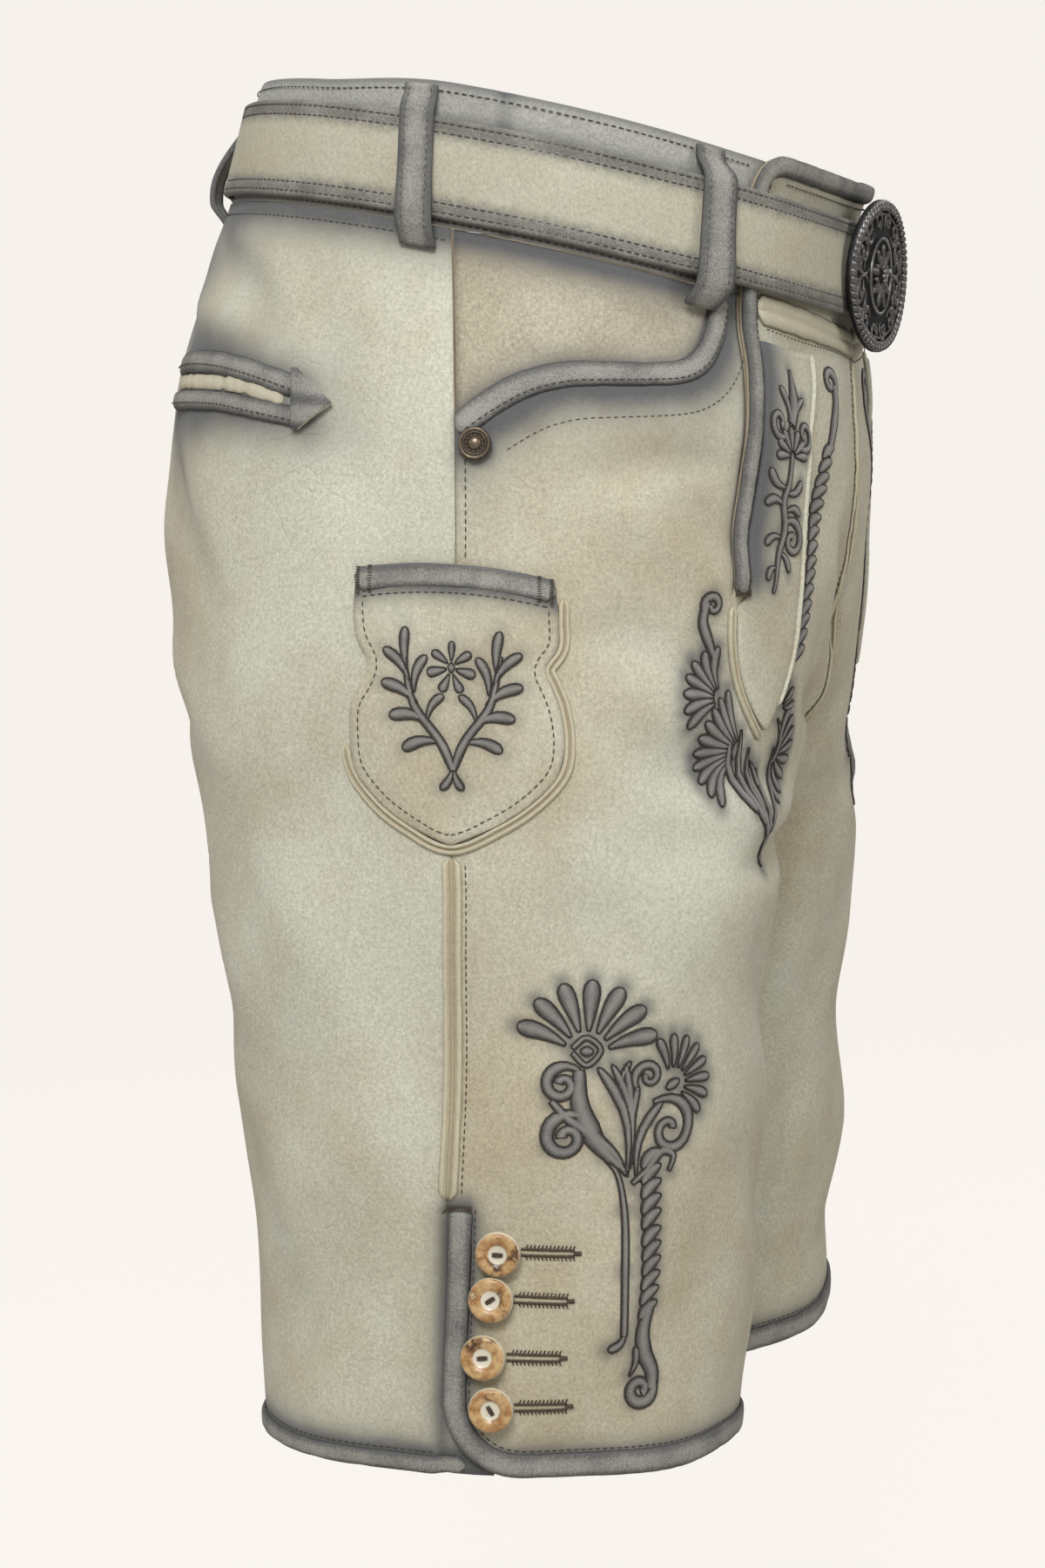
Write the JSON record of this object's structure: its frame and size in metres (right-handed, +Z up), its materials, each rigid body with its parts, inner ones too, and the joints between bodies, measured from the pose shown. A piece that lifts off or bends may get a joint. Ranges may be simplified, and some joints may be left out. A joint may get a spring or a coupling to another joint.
{
  "type": "lederhosen",
  "caption": "Short suede leather lederhosen with embroidered drop flap, side pockets, buttoned leg slits and a belt with an oval plate buckle, held in hollow worn shape.",
  "frame": {"origin": "middle of the waist at the height of the belt, where the wearer holds the trousers up", "axes": "+Z up, -Y the wearer's front, +X the wearer's left"},
  "size_m": [0.4108, 0.2986, 0.5559],
  "materials": {
    "leather_pale": "napped suede, pale sand olive with warm and greenish blotches",
    "leather_tan": "napped suede, warm tan",
    "leather_grey": "napped suede, blue grey edges rubbed pale",
    "leather_cream": "smooth cream piping leather",
    "belt_leather": "suede strap, pale with grey turned edges",
    "thread": "twisted sewing thread",
    "embroidery": "dense thread embroidery, grey with dark outline",
    "antique_metal": "antique dark cast metal with rubbed high spots",
    "bronze": "dark bronze snap rivet",
    "horn": "polished staghorn, mottled brown with cream rim"
  },
  "bodies": {
    "root": {"front_panel_right": "leather_pale", "front_panel_left": "leather_pale", "under_flap_right": "leather_tan", "under_flap_left": "leather_tan", "pocket_facing_right": "leather_tan", "pocket_facing_left": "leather_tan", "back_panel_right": "leather_pale", "back_panel_left": "leather_pale", "waistband_right": "leather_grey", "waistband_left": "leather_grey", "flap_band_right": "leather_cream", "flap_band_left": "leather_cream", "flap_strip_right": "leather_pale", "flap_strip_left": "leather_pale", "tongue_piping_right": "leather_cream", "tongue_piping_left": "leather_cream", "centre_piping_right": "leather_cream", "centre_piping_left": "leather_cream", "pocket_binding_right": "leather_grey", "pocket_binding_left": "leather_grey", "pocket_rivet_right": "bronze", "pocket_rivet_left": "bronze", "back_pocket_upper_welt_right": "leather_grey", "back_pocket_upper_welt_left": "leather_grey", "back_pocket_lower_welt_right": "leather_grey", "back_pocket_lower_welt_left": "leather_grey", "back_pocket_tab_right": "leather_grey", "back_pocket_tab_left": "leather_grey", "side_piping_right": "leather_cream", "side_piping_left": "leather_cream", "slit_binding_right": "leather_grey", "slit_binding_left": "leather_grey", "back_hem_binding_right": "leather_grey", "back_hem_binding_left": "leather_grey", "horn_button_1_right": "horn", "horn_button_1_left": "horn", "horn_button_2_right": "horn", "horn_button_2_left": "horn", "horn_button_3_right": "horn", "horn_button_3_left": "horn", "horn_button_4_right": "horn", "horn_button_4_left": "horn", "belt_loop_front_right": "leather_grey", "belt_loop_front_left": "leather_grey", "belt_loop_side_right": "leather_grey", "belt_loop_side_left": "leather_grey", "belt_loop_back_right": "leather_grey", "belt_loop_back_left": "leather_grey", "flap_binding": "leather_grey", "knife_pocket": "leather_pale", "knife_pocket_band": "leather_grey", "knife_pocket_piping": "leather_cream", "belt_strap": "belt_leather", "buckle_plate": "antique_metal", "buckle_loop": "antique_metal", "buckle_prong": "antique_metal"}
  },
  "joints": []
}
